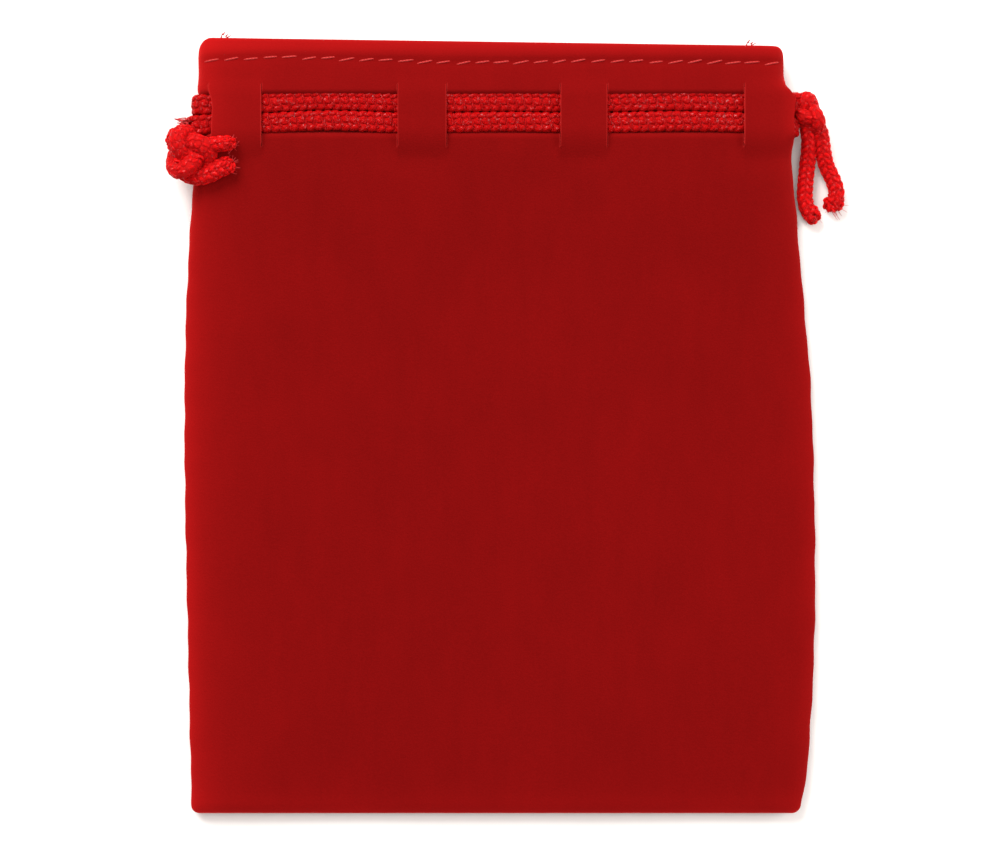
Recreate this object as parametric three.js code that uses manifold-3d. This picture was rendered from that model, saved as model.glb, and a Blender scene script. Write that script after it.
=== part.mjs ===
// A drawstring dice bag: a flat pouch of two velour panels, closed by two cords that run in opposite
// directions through slits near the mouth. Each cord ends in an overhand knot outside its own side edge.
// Millimetres. The bag lies on its back: X across the bag, Y towards the mouth, Z up from the table.
// The origin is on the resting face, in the middle of the bag.
import * as THREE from "three";
import { mergeVertices } from "three/addons/utils/BufferGeometryUtils.js";
import Module from "manifold-3d";

const wasm = await Module();
wasm.setup();

// Driving dimensions
const FABRIC = 0.6; // pressed velour, one layer
const HEM_LAYERS = 2; // the mouth edge is folded inside once
const GAP = 0.3; // air between neighbouring pieces
const CORD_WIDTH = 3.1; // a cord is pressed oval where it runs through the slits
const CORD_THICKNESS = 1.5;
const TAIL_RADIUS = 1.15; // a free end of the same cord is round
const THREAD_RADIUS = 0.175;

const MOUTH_Y = 63.4; // mouth edge on the bag's middle line
const MOUTH_SLOPE = -0.0145; // the mouth edge runs slightly downhill to the right
const BOTTOM_Y = -64;
const SLIT_X = [-47.6, -39.4, -17.1, -9.0, 9.65, 17.4, 39.85, 45.7];
const SLIT_WIDTH = 0.7;
const SLIT_Y = [45.6, 57.2];
const LEFT_CORD_Y = 50.1; // the cord knotted at the left edge
const RIGHT_CORD_Y = 53.5; // the cord knotted at the right edge
const HEM_STITCH_Y = 60.2;
const SEAM_INSET = 1.8; // seam thread, in from the outer edge
const SEAM_THICKNESS = 2.4; // how far in the two panels close up towards the seam

// Levels of the stack under and over each cord, from the table up
const BACK_CORD_Z = FABRIC + GAP + CORD_THICKNESS / 2;
const BACK_WINDOW_Z = BACK_CORD_Z + CORD_THICKNESS / 2 + GAP;
const FRONT_WINDOW_Z = BACK_WINDOW_Z + FABRIC + GAP;
const FRONT_CORD_Z = FRONT_WINDOW_Z + FABRIC + GAP + CORD_THICKNESS / 2;
const FRONT_BRIDGE_Z = FRONT_CORD_Z + CORD_THICKNESS / 2 + GAP;
const FRONT_BODY_Z = 2.4; // underside of the front panel where the pouch lies empty
const FRONT_HEM_Z = 3.6;
const BACK_HEM_Z = 0.7;
const BODY_SEAM_Z = 1.65;
const HEM_SEAM_Z = 2.75;
const SEAM_GAP = 1.0; // between the panels along a seam, round the thread
const WRAP_RADIUS = (FRONT_CORD_Z - BACK_CORD_Z) / 2;
const WRAP_Z = (FRONT_CORD_Z + BACK_CORD_Z) / 2;
const LEFT_WRAP_X = -48.65; // centre of the turn that a cord makes round a side edge
const RIGHT_WRAP_X = 46.65;

// Side edges, from the bottom corner up, as (y, x). The cords draw both edges in at the mouth.
const LEFT_EDGE = [
  [-64, -49.6],
  [-63.2, -50.9],
  [-61.5, -51.4],
  [-45, -51.8],
  [30, -51.8],
  [39, -51.1],
  [45.4, -49.8],
  [48.2, -48.9],
  [57.4, -48.9],
  [59.2, -50],
  [64, -50],
];
const RIGHT_EDGE = [
  [-64, 47.6],
  [-63.2, 49],
  [-61.5, 49.6],
  [-45, 51.5],
  [-8, 51.8],
  [8, 51.2],
  [21, 50.1],
  [35, 48.8],
  [45.4, 47.6],
  [48.2, 46.9],
  [57.4, 46.9],
  [64, 46.4],
];

const velour = new THREE.MeshStandardMaterial({ color: 0x98110f, roughness: 1, metalness: 0 });
const cordYarn = new THREE.MeshStandardMaterial({ color: 0xcd1a1c, roughness: 0.55, metalness: 0 });
const thread = new THREE.MeshStandardMaterial({ color: 0xd73c37, roughness: 0.6, metalness: 0 });

const dicebag = new THREE.Group();

function place(name, geometry, material) {
  const mesh = new THREE.Mesh(geometry, material);
  mesh.name = name;
  dicebag.add(mesh);
}

function toSolid(geometry) {
  const bare = geometry.index ? geometry.toNonIndexed() : geometry.clone();
  bare.deleteAttribute("normal");
  bare.deleteAttribute("uv");
  const merged = mergeVertices(bare, 1e-4);
  const triVerts = new Uint32Array(merged.index.array);
  const vertProperties = merged.attributes.position.array;
  return new wasm.Manifold(new wasm.Mesh({ numProp: 3, vertProperties, triVerts }));
}

function toGeometry(solid) {
  const { vertProperties, triVerts } = solid.getMesh();
  const geometry = new THREE.BufferGeometry();
  geometry.setAttribute("position", new THREE.Float32BufferAttribute(vertProperties, 3));
  geometry.setIndex(Array.from(triVerts));
  return geometry;
}

// Straight lines through a list of [input, output] points.
function along(points, at) {
  const last = points.length - 1;
  if (at <= points[0][0]) return points[0][1];
  if (at >= points[last][0]) return points[last][1];
  const i = points.findIndex(([input]) => input > at);
  const [[a, low], [b, high]] = [points[i - 1], points[i]];
  return low + ((high - low) * (at - a)) / (b - a);
}

// ---- Panels ----

const MOUTH_BAND = [
  [45.4, 0],
  [48.3, 1],
  [55.3, 1],
  [57.4, 0],
]; // how far the panel leaves its resting level to pass over or under the cords

// Between two slits the panel is outside the cords (a bridge) or inside them (a window), in turn.
function isBridge(x) {
  return SLIT_X.filter((slit) => slit < x).length % 2 === 1;
}

function mouthEdge(x) {
  return MOUTH_Y + MOUTH_SLOPE * x;
}

// 1 on a sewn edge, 0 where the panels are free of it.
function seamPull(x, y) {
  const inset = Math.min(x - along(LEFT_EDGE, y), along(RIGHT_EDGE, y) - x, y - BOTTOM_Y);
  return Math.max(0, 1 - inset / SEAM_THICKNESS);
}

function blend(from, to, weight) {
  return from + (to - from) * weight;
}

function thicknessAt(y) {
  return along([[58.2, FABRIC], [59.2, FABRIC * HEM_LAYERS]], y);
}

function seamLevel(y) {
  return along([[45.4, BODY_SEAM_Z], [58.2, HEM_SEAM_Z]], y);
}

function frontUnderside(x, y) {
  const free = along([[38, FRONT_BODY_Z], [58, FRONT_HEM_Z]], y);
  const resting = blend(free, seamLevel(y) + SEAM_GAP / 2, seamPull(x, y));
  return blend(resting, isBridge(x) ? FRONT_BRIDGE_Z : FRONT_WINDOW_Z, along(MOUTH_BAND, y));
}

function backUnderside(x, y) {
  const free = along([[57.4, 0], [59.2, BACK_HEM_Z]], y);
  const sewn = seamLevel(y) - SEAM_GAP / 2 - thicknessAt(y);
  const resting = blend(free, sewn, seamPull(x, y));
  return blend(resting, isBridge(x) ? 0 : BACK_WINDOW_Z, along(MOUTH_BAND, y));
}

// Grid lines. Columns stand close on both sides of every slit, and close up at the rounded edges.
const SLIT_COLUMNS = SLIT_X.flatMap((x) => [x - 0.3, x + 0.3]);
const LEFT_LIMIT = -48.9;
const RIGHT_LIMIT = 46.9;
const FREE_COLUMNS = [LEFT_LIMIT, -48.4, -43.5, -32, -24.5, -13, -4, 4.5, 13.5, 25, 32.5, 43, RIGHT_LIMIT];
const COLUMNS = [...FREE_COLUMNS, ...SLIT_COLUMNS].sort((a, b) => a - b);
const ROWS = [
  -64, -63.2, -61.5, -58, -40, -20, 0, 15, 30, 38, 43, 45.4, 46.8, 48.3, 51.8, 55.3, 56.4, 57.4, 58.2,
  59.2, 61.5, 64,
];
const INNER_X = 40.5; // columns further out than this follow the side edges

function columnX(column, y) {
  if (column < -INNER_X) {
    const share = (column + INNER_X) / (LEFT_LIMIT + INNER_X);
    return blend(-INNER_X, along(LEFT_EDGE, y), share);
  }
  if (column > INNER_X) {
    const share = (column - INNER_X) / (RIGHT_LIMIT - INNER_X);
    return blend(INNER_X, along(RIGHT_EDGE, y), share);
  }
  return column;
}

function panel(underside) {
  const across = COLUMNS.length - 1;
  const up = ROWS.length - 1;
  const sheet = new THREE.BoxGeometry(1, 1, 1, across, up, 1);
  const position = sheet.attributes.position;
  for (let i = 0; i < position.count; i++) {
    const column = COLUMNS[Math.round((position.getX(i) + 0.5) * across)];
    const row = ROWS[Math.round((position.getY(i) + 0.5) * up)];
    const x = columnX(column, row);
    const top = ROWS[up];
    const y = row > SLIT_Y[1] ? along([[SLIT_Y[1], SLIT_Y[1]], [top, mouthEdge(x)]], row) : row;
    const low = underside(column, row);
    const high = low + thicknessAt(row);
    position.setXYZ(i, x, y, position.getZ(i) > 0 ? high : low);
  }
  let solid = toSolid(sheet);
  for (const x of SLIT_X) {
    const slit = new THREE.BoxGeometry(SLIT_WIDTH, SLIT_Y[1] - SLIT_Y[0], 40);
    slit.translate(x, (SLIT_Y[0] + SLIT_Y[1]) / 2, 0);
    solid = solid.subtract(toSolid(slit));
  }
  return toGeometry(solid);
}

place("back_panel", panel(backUnderside), velour);
place("front_panel", panel(frontUnderside), velour);

// ---- Cords and threads: a section carried along a route ----

// A route with one section at every listed point, square to the bend there.
class Route extends THREE.Curve {
  constructor(points) {
    super();
    this.points = points.map(([x, y, z]) => new THREE.Vector3(x, y, z));
  }

  getPoint(t, target = new THREE.Vector3()) {
    const last = this.points.length - 1;
    const place = t * last;
    const i = Math.min(Math.floor(place), last - 1);
    return target.lerpVectors(this.points[i], this.points[i + 1], place - i);
  }

  getTangent(t, target = new THREE.Vector3()) {
    const last = this.points.length - 1;
    const i = Math.round(t * last);
    const here = this.points[i];
    const before = here.clone().sub(this.points[Math.max(i - 1, 0)]).normalize();
    const after = this.points[Math.min(i + 1, last)].clone().sub(here).normalize();
    return target.addVectors(before, after).normalize();
  }

  getUtoTmapping(u) {
    return u;
  }
}

// The section's width lies along Y on a route that stays in an XZ plane.
function sweep(points, halfAcross, halfUp, sides) {
  const section = new THREE.Shape(
    Array.from({ length: sides }, (_, i) => {
      const turn = ((i + 0.5) * 2 * Math.PI) / sides;
      return new THREE.Vector2(halfAcross * Math.cos(turn), halfUp * Math.sin(turn));
    }),
  );
  const extrudePath = new Route(points);
  return new THREE.ExtrudeGeometry(section, { steps: points.length - 1, extrudePath, curveSegments: 1 });
}

// The half turn round a side edge, from the front run to the back run. side is 1 at the right edge.
function wrapTurn(centreX, y, side) {
  const STEPS = 12;
  return Array.from({ length: STEPS + 1 }, (_, i) => {
    const turn = Math.PI / 2 - (Math.PI * i) / STEPS;
    const out = side * WRAP_RADIUS * Math.cos(turn);
    return [centreX + out, y, WRAP_Z + WRAP_RADIUS * Math.sin(turn)];
  });
}

const LEFT_CORD_ROUTE = [
  [-50.6, LEFT_CORD_Y, 5.5],
  [-49.4, LEFT_CORD_Y, 5.35],
  [-47, LEFT_CORD_Y, FRONT_CORD_Z],
  [-24, LEFT_CORD_Y, FRONT_CORD_Z],
  [0, LEFT_CORD_Y, FRONT_CORD_Z],
  [24, LEFT_CORD_Y, FRONT_CORD_Z],
  ...wrapTurn(RIGHT_WRAP_X, LEFT_CORD_Y, 1),
  [24, LEFT_CORD_Y, BACK_CORD_Z],
  [0, LEFT_CORD_Y, BACK_CORD_Z],
  [-24, LEFT_CORD_Y, BACK_CORD_Z],
  [-48, LEFT_CORD_Y, BACK_CORD_Z],
  [-50.8, LEFT_CORD_Y, 1.75],
  [-52, LEFT_CORD_Y, 2.2],
  [-52.8, LEFT_CORD_Y, 3],
  [-53.1, LEFT_CORD_Y, 4.2],
];
const RIGHT_CORD_ROUTE = [
  [49.6, RIGHT_CORD_Y, 4],
  [48.7, RIGHT_CORD_Y, 4.55],
  [47.7, RIGHT_CORD_Y, 5],
  [46.4, RIGHT_CORD_Y, FRONT_CORD_Z],
  [24, RIGHT_CORD_Y, FRONT_CORD_Z],
  [0, RIGHT_CORD_Y, FRONT_CORD_Z],
  [-24, RIGHT_CORD_Y, FRONT_CORD_Z],
  ...wrapTurn(LEFT_WRAP_X, RIGHT_CORD_Y, -1),
  [-24, RIGHT_CORD_Y, BACK_CORD_Z],
  [0, RIGHT_CORD_Y, BACK_CORD_Z],
  [24, RIGHT_CORD_Y, BACK_CORD_Z],
  [46.4, RIGHT_CORD_Y, BACK_CORD_Z],
  [48.3, RIGHT_CORD_Y, 1.75],
  [49.6, RIGHT_CORD_Y, 2.15],
];

function flatCord(route) {
  return sweep(route, CORD_WIDTH / 2, CORD_THICKNESS / 2, 12);
}

place("left_drawstring", flatCord(LEFT_CORD_ROUTE), cordYarn);
place("right_drawstring", flatCord(RIGHT_CORD_ROUTE), cordYarn);

// An overhand knot pulled tight: two crossing turns of cord round a core.
function knot(centre, radii, lean) {
  const TURN_CORD = 0.36; // cord radius as a share of the knot's half size
  const core = new THREE.SphereGeometry(0.86, 18, 12);
  let solid = toSolid(core);
  for (const tilt of [lean, -lean]) {
    const turn = new THREE.TorusGeometry(1 - TURN_CORD, TURN_CORD, 10, 20);
    turn.rotateX(tilt);
    turn.rotateZ(tilt);
    solid = solid.add(toSolid(turn));
  }
  const geometry = toGeometry(solid);
  geometry.scale(...radii);
  geometry.translate(...centre);
  return geometry;
}

place("left_knot", knot([-51.4, 44.5, 5.8], [3.8, 3.7, 2.4], 0.55), cordYarn);
place("right_knot", knot([51.75, 51.2, 2.9], [1.85, 3.3, 2.6], 0.4), cordYarn);

// A free end of cord, frayed into a blob at its tip.
function tail(points) {
  const TIP_RADIUS = 1.4;
  const route = new THREE.CatmullRomCurve3(points.map(([x, y, z]) => new THREE.Vector3(x, y, z)));
  const steps = route.getSpacedPoints(Math.ceil(route.getLength() / 1.4));
  const tube = sweep(steps.map((p) => p.toArray()), TAIL_RADIUS, TAIL_RADIUS, 10);
  const tip = new THREE.SphereGeometry(TIP_RADIUS, 12, 8);
  tip.scale(1, 1, TAIL_RADIUS / TIP_RADIUS);
  tip.translate(...points.at(-1));
  return toGeometry(toSolid(tube).add(toSolid(tip)));
}

const LEFT_UPPER_TAIL_ROUTE = [
  [-47.6, 45.5, 6.5],
  [-46.4, 45.6, 6.5],
  [-45, 45.6, 6.5],
];
const LEFT_LOWER_TAIL_ROUTE = [
  [-47.7, 42.9, 5.2],
  [-46.4, 42.3, 4.8],
  [-45, 41.4, 4.7],
];
const RIGHT_INNER_TAIL_ROUTE = [
  [50.55, 47.5, 2.6],
  [50.6, 45.4, 2.1],
  [50.4, 42.5, 1.6],
  [49.95, 39.6, 1.45],
  [49.95, 37.2, 1.45],
  [50.7, 35.4, 1.45],
  [51.7, 34.2, 1.45],
];
const RIGHT_OUTER_TAIL_ROUTE = [
  [53.35, 47.5, 2.6],
  [53.4, 45.6, 2.1],
  [53.8, 43.4, 1.6],
  [54.5, 41.2, 1.45],
  [55.3, 39.2, 1.45],
  [55.9, 37.6, 1.45],
  [56.3, 36.4, 1.45],
];

place("left_upper_tail", tail(LEFT_UPPER_TAIL_ROUTE), cordYarn);
place("left_lower_tail", tail(LEFT_LOWER_TAIL_ROUTE), cordYarn);
place("right_inner_tail", tail(RIGHT_INNER_TAIL_ROUTE), cordYarn);
place("right_outer_tail", tail(RIGHT_OUTER_TAIL_ROUTE), cordYarn);

// ---- Threads ----

function sewn(points) {
  return sweep(points, THREAD_RADIUS, THREAD_RADIUS, 8);
}

// Evenly spaced stops from one number to another.
function stops(from, to, count) {
  return Array.from({ length: count + 1 }, (_, i) => blend(from, to, i / count));
}

function sideSeam(edge, inward) {
  return stops(-61, 44, 14).map((y) => [along(edge, y) + inward * SEAM_INSET, y, BODY_SEAM_Z]);
}

function hem(z) {
  return stops(-48.4, 45.6, 10).map((x) => [x, HEM_STITCH_Y, z]);
}

const FRONT_HEM_TOP = FRONT_HEM_Z + FABRIC * HEM_LAYERS;
place("front_hem_stitching", sewn(hem(FRONT_HEM_TOP + GAP + THREAD_RADIUS)), thread);
place("back_hem_stitching", sewn(hem(BACK_HEM_Z - GAP - THREAD_RADIUS)), thread);
place("left_seam_stitching", sewn(sideSeam(LEFT_EDGE, 1)), thread);
place("right_seam_stitching", sewn(sideSeam(RIGHT_EDGE, -1)), thread);
const bottomSeamY = BOTTOM_Y + SEAM_INSET;
const bottomSeam = stops(-47.5, 45.5, 10).map((x) => [x, bottomSeamY, BODY_SEAM_Z]);
place("bottom_seam_stitching", sewn(bottomSeam), thread);

export default dicebag;
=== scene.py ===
import math
import random

import bpy
import numpy as np
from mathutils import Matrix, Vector


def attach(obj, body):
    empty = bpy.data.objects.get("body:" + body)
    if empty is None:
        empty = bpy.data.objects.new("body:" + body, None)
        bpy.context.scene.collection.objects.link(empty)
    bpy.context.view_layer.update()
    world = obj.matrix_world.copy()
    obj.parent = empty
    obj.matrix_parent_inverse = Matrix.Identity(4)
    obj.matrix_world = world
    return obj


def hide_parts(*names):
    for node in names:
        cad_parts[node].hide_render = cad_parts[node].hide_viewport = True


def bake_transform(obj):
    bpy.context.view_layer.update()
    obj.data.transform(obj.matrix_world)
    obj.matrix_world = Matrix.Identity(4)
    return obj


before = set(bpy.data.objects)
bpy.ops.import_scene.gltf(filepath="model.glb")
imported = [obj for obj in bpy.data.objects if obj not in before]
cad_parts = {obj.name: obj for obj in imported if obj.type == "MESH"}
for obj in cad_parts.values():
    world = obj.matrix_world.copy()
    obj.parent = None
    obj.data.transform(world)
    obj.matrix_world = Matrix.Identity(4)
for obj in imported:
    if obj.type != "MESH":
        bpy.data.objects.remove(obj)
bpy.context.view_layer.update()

# The drawstring dice bag. Lengths are in millimetres until a mesh is made.
MM = 0.001

# ---- Sizes shared with the frame ----

CORD_WIDTH = 3.5
CORD_THICKNESS = 1.7
TAIL_WIDTH = 2.65
FABRIC = 0.6
FRONT_CORD_Z = 5.25
BACK_CORD_Z = 1.65
WRAP_RADIUS = (FRONT_CORD_Z - BACK_CORD_Z) / 2
WRAP_Z = (FRONT_CORD_Z + BACK_CORD_Z) / 2
LEFT_CORD_Y = 50.1
RIGHT_CORD_Y = 53.5
LEFT_WRAP_X = -48.65
RIGHT_WRAP_X = 46.65
SLIT_X = [-47.6, -39.4, -17.1, -9.0, 9.65, 17.4, 39.85]
SLIT_Y = (45.9, 56.6)
BOTTOM_Y = -64
SEAM_Z = 1.65
SEAM_INSET = 1.8
WRAP_STEPS = 12


def wrap_turn(centre_x, y, side):
    """The half turn round a side edge, from the front run to the back run."""
    points = []
    for i in range(WRAP_STEPS + 1):
        turn = math.pi / 2 - math.pi * i / WRAP_STEPS
        out = side * WRAP_RADIUS * math.cos(turn)
        points.append((centre_x + out, y, WRAP_Z + WRAP_RADIUS * math.sin(turn)))
    return points


LEFT_CORD_ROUTE = [
    (-50.6, LEFT_CORD_Y - 0.5, 5.5),
    (-49.4, LEFT_CORD_Y - 0.4, 5.35),
    (-47, LEFT_CORD_Y - 0.15, FRONT_CORD_Z),
    (-40, LEFT_CORD_Y - 0.1, FRONT_CORD_Z),
    (-28.5, LEFT_CORD_Y + 0.35, FRONT_CORD_Z),
    (-17, LEFT_CORD_Y, FRONT_CORD_Z),
    (-9, LEFT_CORD_Y, FRONT_CORD_Z),
    (0.5, LEFT_CORD_Y + 0.15, FRONT_CORD_Z),
    (10, LEFT_CORD_Y, FRONT_CORD_Z),
    (17, LEFT_CORD_Y, FRONT_CORD_Z),
    (29, LEFT_CORD_Y + 0.25, FRONT_CORD_Z),
    (40, LEFT_CORD_Y, FRONT_CORD_Z),
    *wrap_turn(RIGHT_WRAP_X, LEFT_CORD_Y - 0.55, 1),
    (24, LEFT_CORD_Y, BACK_CORD_Z),
    (0, LEFT_CORD_Y, BACK_CORD_Z),
    (-24, LEFT_CORD_Y, BACK_CORD_Z),
    (-48, LEFT_CORD_Y, BACK_CORD_Z),
    (-50.2, LEFT_CORD_Y, 1.8),
    (-51.4, LEFT_CORD_Y - 0.3, 2.3),
    (-52.0, LEFT_CORD_Y - 1.1, 3.1),
    (-52.2, LEFT_CORD_Y - 2.2, 4.2),
]
RIGHT_CORD_ROUTE = [
    (49.6, RIGHT_CORD_Y, 4),
    (48.7, RIGHT_CORD_Y, 4.55),
    (47.7, RIGHT_CORD_Y, 5),
    (46.4, RIGHT_CORD_Y, FRONT_CORD_Z),
    (40, RIGHT_CORD_Y, FRONT_CORD_Z),
    (29, RIGHT_CORD_Y + 0.25, FRONT_CORD_Z),
    (17, RIGHT_CORD_Y, FRONT_CORD_Z),
    (10, RIGHT_CORD_Y, FRONT_CORD_Z),
    (0.5, RIGHT_CORD_Y + 0.15, FRONT_CORD_Z),
    (-9, RIGHT_CORD_Y, FRONT_CORD_Z),
    (-17, RIGHT_CORD_Y, FRONT_CORD_Z),
    (-28.5, RIGHT_CORD_Y + 0.35, FRONT_CORD_Z),
    (-40, RIGHT_CORD_Y - 0.1, FRONT_CORD_Z),
    *wrap_turn(LEFT_WRAP_X, RIGHT_CORD_Y - 0.4, -1),
    (-24, RIGHT_CORD_Y, BACK_CORD_Z),
    (0, RIGHT_CORD_Y, BACK_CORD_Z),
    (24, RIGHT_CORD_Y, BACK_CORD_Z),
    (46.4, RIGHT_CORD_Y, BACK_CORD_Z),
    (48.3, RIGHT_CORD_Y, 1.75),
    (49.6, RIGHT_CORD_Y, 2.15),
]
LEFT_UPPER_TAIL_ROUTE = [
    (-49.4, 45.9, 7.1),
    (-48.2, 46.1, 7.2),
    (-46.4, 46.4, 7.3),
    (-44.6, 46.5, 7.3),
]
LEFT_LOWER_TAIL_ROUTE = [
    (-52.6, 42.4, 5.8),
    (-50.6, 41.3, 6.1),
    (-48.4, 41.5, 6.2),
    (-46.6, 42.4, 6.3),
    (-45.0, 43.0, 6.3),
]
RIGHT_INNER_TAIL_ROUTE = [
    (50.6, 49.6, 3.2),
    (50.9, 47.6, 2.7),
    (50.9, 45.6, 2.2),
    (50.65, 43.0, 1.75),
    (50.4, 40.2, 1.5),
    (50.35, 37.8, 1.45),
    (50.8, 36.1, 1.45),
    (51.5, 35.2, 1.45),
]
RIGHT_OUTER_TAIL_ROUTE = [
    (52.5, 49.6, 3.2),
    (52.9, 48.0, 2.8),
    (53.3, 45.7, 2.2),
    (53.9, 43.3, 1.7),
    (55.0, 41.0, 1.5),
    (55.6, 38.8, 1.45),
    (55.2, 37.2, 1.45),
]


# ---- Camera ----

LENS = 100
SENSOR_WIDTH = 36
VIEW_WIDTH = 165  # how much of the table the camera sees, side to side
CAMERA_X = -0.25
CAMERA_Y = -0.8
VIEW_LEVEL = 4  # the height at which the view is that wide


def add_camera():
    camera = bpy.data.cameras.new("camera")
    camera.lens = LENS
    camera.sensor_width = SENSOR_WIDTH
    distance = VIEW_WIDTH * MM * camera.lens / camera.sensor_width
    holder = bpy.data.objects.new("camera", camera)
    bpy.context.scene.collection.objects.link(holder)
    holder.location = (CAMERA_X * MM, CAMERA_Y * MM, distance + VIEW_LEVEL * MM)
    bpy.context.scene.camera = holder


# ---- Materials ----

PILE_DEEP = (0.131, 0.0015, 0.0015)
PILE_BRIGHT = (0.149, 0.0018, 0.0018)
# Painted sheen: the lighter colour mixed in where light catches the seams and the mouth fold.
PILE_PAINTED_SHEEN = (0.42, 0.006, 0.006)
PILE_CUT = (0.55, 0.025, 0.022)
PILE_CUT_SHARE = 0.3
YARN_TONES = [
    (0.30, (0.25, 0.0014, 0.0016)),
    (0.55, (0.34, 0.0023, 0.0027)),
    (0.80, (0.44, 0.005, 0.005)),
]
CORE_TONES = [(0.3, (0.31, 0.0018, 0.0018)), (0.7, (0.42, 0.0026, 0.0026))]
THREAD_TONES = [(0.1, (0.32, 0.013, 0.012)), (0.9, (0.46, 0.028, 0.025))]
FIBRE_TONES = [(0.3, (0.34, 0.004, 0.005)), (0.7, (0.55, 0.012, 0.013))]
FLOOR_COLOUR = (0.82, 0.79, 0.76, 1)
FINE_BUMP = 0.0001


def grey(level):
    return (level, level, level)


def new_material(name, roughness, **sockets):
    material = bpy.data.materials.new(name)
    material.use_nodes = True
    nodes = material.node_tree.nodes
    shader = nodes["Principled BSDF"]
    shader.inputs["Roughness"].default_value = roughness
    for socket, value in sockets.items():
        shader.inputs[socket.replace("_", " ")].default_value = value
    return material, nodes, material.node_tree.links, shader


def noise_on(nodes, links, vector, scale, detail=2.0, roughness=0.5):
    noise = nodes.new("ShaderNodeTexNoise")
    noise.inputs["Scale"].default_value = scale
    noise.inputs["Detail"].default_value = detail
    noise.inputs["Roughness"].default_value = roughness
    links.new(vector, noise.inputs["Vector"])
    return noise.outputs["Fac"]


def ramp_on(nodes, links, fac, stops):
    ramp = nodes.new("ShaderNodeValToRGB")
    ramp.color_ramp.elements[0].position = stops[0][0]
    ramp.color_ramp.elements[0].color = (*stops[0][1], 1)
    ramp.color_ramp.elements[1].position = stops[-1][0]
    ramp.color_ramp.elements[1].color = (*stops[-1][1], 1)
    for place, colour in stops[1:-1]:
        ramp.color_ramp.elements.new(place).color = (*colour, 1)
    links.new(fac, ramp.inputs["Fac"])
    return ramp.outputs["Color"]


def mix_colours(nodes, links, fac, a, b, how="MIX"):
    mix = nodes.new("ShaderNodeMix")
    mix.data_type = "RGBA"
    mix.blend_type = how
    if isinstance(fac, float):
        mix.inputs["Factor"].default_value = fac
    else:
        links.new(fac, mix.inputs["Factor"])
    for socket, value in ((mix.inputs[6], a), (mix.inputs[7], b)):
        if isinstance(value, tuple):
            socket.default_value = (*value, 1)
        else:
            links.new(value, socket)
    return mix.outputs[2]


def bump_on(nodes, links, height, strength, distance, normal=None):
    bump = nodes.new("ShaderNodeBump")
    bump.inputs["Strength"].default_value = strength
    bump.inputs["Distance"].default_value = distance
    links.new(height, bump.inputs["Height"])
    if normal is not None:
        links.new(normal, bump.inputs["Normal"])
    return bump.outputs["Normal"]


def velour_material():
    material, nodes, links, shader = new_material(
        "red_velour",
        0.95,
        Sheen_Weight=0.6,
        Sheen_Roughness=0.4,
        Sheen_Tint=(1.0, 0.045, 0.04, 1),
        Specular_IOR_Level=0.03,
    )
    place = nodes.new("ShaderNodeTexCoord").outputs["Object"]
    pile = noise_on(nodes, links, place, 3600, 2, 0.6)
    tufts = noise_on(nodes, links, place, 900, 3, 0.6)
    nap = noise_on(nodes, links, place, 70, 4, 0.55)
    stretched = nodes.new("ShaderNodeMapping")
    stretched.inputs["Scale"].default_value = (1, 0.25, 1)
    links.new(place, stretched.inputs["Vector"])
    brushed = noise_on(nodes, links, stretched.outputs["Vector"], 380, 3, 0.55)
    base = ramp_on(nodes, links, pile, [(0.3, PILE_DEEP), (0.7, PILE_BRIGHT)])
    shade = ramp_on(nodes, links, nap, [(0.3, grey(0.955)), (0.7, grey(1.04))])
    streak = ramp_on(nodes, links, brushed, [(0.3, grey(0.965)), (0.7, grey(1.03))])
    base = mix_colours(nodes, links, 1.0, base, shade, "MULTIPLY")
    base = mix_colours(nodes, links, 1.0, base, streak, "MULTIPLY")
    # Painted sheen: mixes in a lighter colour along the seams and the mouth fold, standing in for
    # light on the curved edges.
    painted_sheen = nodes.new("ShaderNodeAttribute")
    painted_sheen.attribute_name = "painted_edge_sheen"
    base = mix_colours(nodes, links, painted_sheen.outputs["Fac"], base, PILE_PAINTED_SHEEN)
    cut = nodes.new("ShaderNodeAttribute")
    cut.attribute_name = "raw_edge"
    cut_share = nodes.new("ShaderNodeMath")
    cut_share.operation = "MULTIPLY"
    cut_share.inputs[1].default_value = PILE_CUT_SHARE
    links.new(cut.outputs["Fac"], cut_share.inputs[0])
    base = mix_colours(nodes, links, cut_share.outputs[0], base, PILE_CUT)
    links.new(base, shader.inputs["Base Color"])
    normal = bump_on(nodes, links, tufts, 0.16, 0.0002)
    normal = bump_on(nodes, links, pile, 0.35, 0.00012, normal)
    links.new(normal, shader.inputs["Normal"])
    return material


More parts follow.
